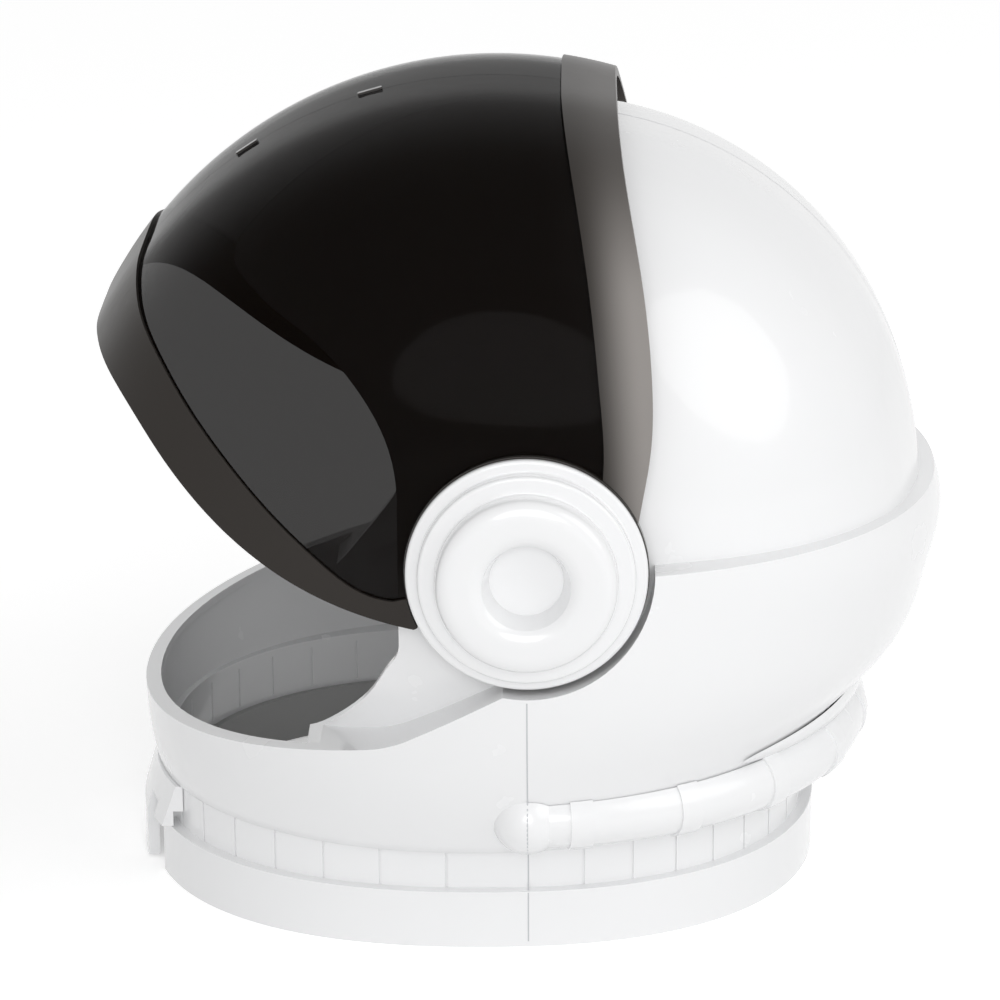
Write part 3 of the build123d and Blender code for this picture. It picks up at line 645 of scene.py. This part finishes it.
class HELMET_OT_stage(bpy.types.Operator):
    """Make the floor, the lamps, the white surroundings and the camera"""

    bl_idname = "helmet.stage"
    bl_label = "Stage"

    def execute(self, context):
        settings = context.scene.helmet.stage
        self.make_floor(context, settings)
        self.make_world(context, settings)
        self.make_lamps(context, settings)
        self.make_camera(context, settings)
        return {"FINISHED"}

    def make_floor(self, context, settings):
        """A large pale floor that keeps the shadow of the helmet."""
        mesh = bpy.data.meshes.new("floor")
        half = FLOOR_HALF
        corners = [(-half, -half, 0), (half, -half, 0), (half, half, 0), (-half, half, 0)]
        mesh.from_pydata(corners, [], [(0, 1, 2, 3)])
        floor = bpy.data.objects.new("floor", mesh)
        context.scene.collection.objects.link(floor)
        material = bpy.data.materials.new("floor_paper")
        material.use_nodes = True
        tree = material.node_tree
        tree.nodes.clear()
        paper = tree.nodes.new("ShaderNodeBsdfDiffuse")
        grain = object_noise(tree, PAPER_SCALE, 3.0)
        color = tuple(settings.floor_color)
        color_out = tinted(tree, grain.outputs["Fac"], scaled(color, 0.995), color)
        tree.links.new(color_out, paper.inputs["Color"])
        glow = tree.nodes.new("ShaderNodeEmission")
        lift = counted(tree, "MULTIPLY", self.seen_rays(tree), settings.floor_lift)
        tree.links.new(lift, glow.inputs["Strength"])
        both = tree.nodes.new("ShaderNodeAddShader")
        tree.links.new(paper.outputs["BSDF"], both.inputs[0])
        tree.links.new(glow.outputs["Emission"], both.inputs[1])
        output = tree.nodes.new("ShaderNodeOutputMaterial")
        tree.links.new(both.outputs["Shader"], output.inputs["Surface"])
        mesh.materials.append(material)

    def seen_rays(self, tree):
        """1 for rays that show the surroundings: seen, mirrored or seen through."""
        path = tree.nodes.new("ShaderNodeLightPath")
        value = path.outputs["Is Camera Ray"]
        for name in ("Is Glossy Ray", "Is Transmission Ray"):
            value = counted(tree, "MAXIMUM", value, path.outputs[name])
        return value

    def make_world(self, context, settings):
        """White behind everything, with softer light on the helmet."""
        world = bpy.data.worlds.new("white_room")
        context.scene.world = world
        world.use_nodes = True
        tree = world.node_tree
        background = tree.nodes["Background"]
        set_sockets(background, Color=(1, 1, 1, 1))
        strength = ranged(tree, self.seen_rays(tree), settings.ambient, 1.0)
        tree.links.new(strength, background.inputs["Strength"])

    def make_lamps(self, context, settings):
        """A large lamp behind the helmet, and one behind the camera that reaches into the chin bowl."""
        plan = (
            ("lamp_rear", settings.rear_place, settings.rear_size, settings.rear_power),
            ("lamp_front", settings.front_place, settings.front_size, settings.front_power),
        )
        for name, place, size, power in plan:
            lamp = bpy.data.lights.new(name, "AREA")
            lamp.shape = "DISK"
            lamp.size = size
            lamp.energy = power
            holder = bpy.data.objects.new(name, lamp)
            context.scene.collection.objects.link(holder)
            holder.location = place
            aim = Vector(settings.aim_place) - Vector(place)
            holder.rotation_euler = aim.to_track_quat("-Z", "Y").to_euler()

    def make_camera(self, context, settings):
        """Camera at the photograph's angle."""
        lens = bpy.data.cameras.new("camera")
        lens.lens = settings.camera_lens
        lens.sensor_width = SENSOR_WIDTH
        lens.sensor_fit = "HORIZONTAL"
        lens.clip_start = 0.01
        lens.clip_end = 50.0
        camera = bpy.data.objects.new("camera", lens)
        context.scene.collection.objects.link(camera)
        turn, rise, roll = settings.camera_turn, settings.camera_rise, settings.camera_roll
        back = Vector((sin(turn) * cos(rise), -cos(turn) * cos(rise), sin(rise)))
        right = Vector((cos(turn), sin(turn), 0))
        up = back.cross(right)
        tilted_right = right * cos(roll) + up * sin(roll)
        tilted_up = up * cos(roll) - right * sin(roll)
        columns = Matrix((tilted_right, tilted_up, back)).transposed()
        camera.matrix_world = Matrix.Translation(Vector(settings.camera_place)) @ columns.to_4x4()
        context.scene.camera = camera


class HELMET_OT_shell(bpy.types.Operator):
    """Finish the white shell halves and the front clip"""

    bl_idname = "helmet.shell"
    bl_label = "Shell"

    def execute(self, context):
        settings = context.scene.helmet.shell
        white = moulded_plastic(
            "white_gloss", tuple(settings.color), settings.roughness, settings.ripple,
            grain=0.000004, variation=0.012, gloss_coat=0.6,
        )
        finish_nodes(SHELL_NODES, white)
        return {"FINISHED"}


class HELMET_OT_ears(bpy.types.Operator):
    """Finish the ear knobs, bushes, washers, plates and screws"""

    bl_idname = "helmet.ears"
    bl_label = "Ear pieces"

    def execute(self, context):
        settings = context.scene.helmet.shell
        knob = moulded_plastic(
            "knob_gloss", tuple(settings.color), settings.roughness * 0.9, settings.ripple * 0.4,
            grain=0.000003, variation=0.01, gloss_coat=0.7,
        )
        finish_nodes(KNOB_NODES, knob)
        bush = moulded_plastic(
            "bush_plastic", (0.045, 0.045, 0.047), roughness=0.42, ripple=0.00001, grain=0.00002,
        )
        finish_nodes(BUSH_NODES, bush)
        plate = moulded_plastic(
            "inner_plastic", (0.44, 0.44, 0.435), roughness=0.45, ripple=0.00002, grain=0.00003,
        )
        finish_nodes(PLATE_NODES, plate)
        finish_nodes(SCREW_NODES, screw_metal())
        return {"FINISHED"}


class HELMET_OT_visor(bpy.types.Operator):
    """Finish the smoked lens halves, the rims, the hubs and the catches"""

    bl_idname = "helmet.visor"
    bl_label = "Visor"

    def execute(self, context):
        settings = context.scene.helmet.visor
        finish_nodes(LENS_NODES, smoked_lens(settings))
        finish_nodes(RIM_NODES, smoked_rim(settings))
        hub = moulded_plastic(
            "hub_plastic", tuple(settings.rim_color), settings.rim_roughness * 0.8,
            ripple=0.00001, grain=RIM_GRAIN, variation=0.1, gloss_coat=0.4,
        )
        finish_nodes(HUB_NODES, hub)
        return {"FINISHED"}


class HELMET_OT_seams(bpy.types.Operator):
    """Lay the fine joint lines on the dome and down each side"""

    bl_idname = "helmet.seams"
    bl_label = "Joint lines"

    def execute(self, context):
        settings = context.scene.helmet.shell
        material = moulded_plastic(
            "joint_line", tuple(settings.seam_color), roughness=0.5, ripple=0.0,
            grain=0.00001, variation=0.1,
        )
        width = settings.seam_width
        self.lay_dome_joint(width, material)
        self.lay_side_joints(width, material)
        return {"FINISHED"}

    def lay_dome_joint(self, width, material):
        """Line over the middle of the dome, from its top to the ledge."""
        rays = []
        for step in range(DOME_SEAM_STEPS + 1):
            turn = radians(90 - DOME_SEAM_SPAN * step / DOME_SEAM_STEPS)
            out = Vector((0, cos(turn), sin(turn)))
            rays.append((PIVOT + Vector((0, DOME_SEAM_SHIFT, 0)) + out * SEAM_REACH, -out))
        seam_strip("dome_joint", rays, [surface_of("rear_dome")], width, Vector((1, 0, 0)), material)

    def lay_side_joints(self, width, material):
        """Line down each side where the halves of the shell meet."""
        halves = [surface_of("front_shell"), surface_of("rear_shell")]
        for side, hand in ((1, "left"), (-1, "right")):
            rays = []
            for step in range(SIDE_SEAM_STEPS + 1):
                height = SIDE_SEAM_LOW + SIDE_SEAM_HEIGHT * step / SIDE_SEAM_STEPS
                rays.append((Vector((side * SEAM_REACH, PIVOT.y, height)), Vector((-side, 0, 0))))
            seam_strip(f"side_joint_{hand}", rays, halves, width, Vector((0, 1, 0)), material)


class HELMET_OT_cushions(bpy.types.Operator):
    """Sew the cushions under the crown, behind the head and beside the temples"""

    bl_idname = "helmet.cushions"
    bl_label = "Cushions"

    def execute(self, context):
        settings = context.scene.helmet.cushion
        cloth = woven_cloth(settings)
        for node, channels in PAD_CHANNELS.items():
            make_cushion(node, cloth, channels, settings)
        return {"FINISHED"}


class HELMET_PT_sidebar(bpy.types.Panel):
    """Helmet tools in the sidebar"""

    bl_idname = "HELMET_PT_sidebar"
    bl_label = "Helmet"
    bl_space_type = "VIEW_3D"
    bl_region_type = "UI"
    bl_category = "Helmet"

    def draw(self, context):
        settings = context.scene.helmet
        for group in (settings.stage, settings.shell, settings.visor, settings.cushion):
            box = self.layout.box()
            for name in group.__annotations__:
                box.prop(group, name)
        for operator in OPERATORS:
            self.layout.operator(operator.bl_idname)


SETTINGS = (StageSettings, ShellSettings, VisorSettings, CushionSettings, HelmetSettings)
OPERATORS = (
    HELMET_OT_stage,
    HELMET_OT_shell,
    HELMET_OT_ears,
    HELMET_OT_visor,
    HELMET_OT_seams,
    HELMET_OT_cushions,
)
CLASSES = (*SETTINGS, *OPERATORS, HELMET_PT_sidebar)


def register():
    """Adds the classes and the scene's settings."""
    for cls in CLASSES:
        bpy.utils.register_class(cls)
    bpy.types.Scene.helmet = bpy.props.PointerProperty(type=HelmetSettings)


def unregister():
    """Takes them away again."""
    del bpy.types.Scene.helmet
    for cls in reversed(CLASSES):
        bpy.utils.unregister_class(cls)


def main():
    """Builds everything on the frame."""
    register()
    bpy.context.scene.view_settings.view_transform = "Standard"
    bpy.ops.helmet.stage()
    bpy.ops.helmet.shell()
    bpy.ops.helmet.ears()
    bpy.ops.helmet.visor()
    bpy.ops.helmet.seams()
    bpy.ops.helmet.cushions()


if __name__ == "__main__":
    main()
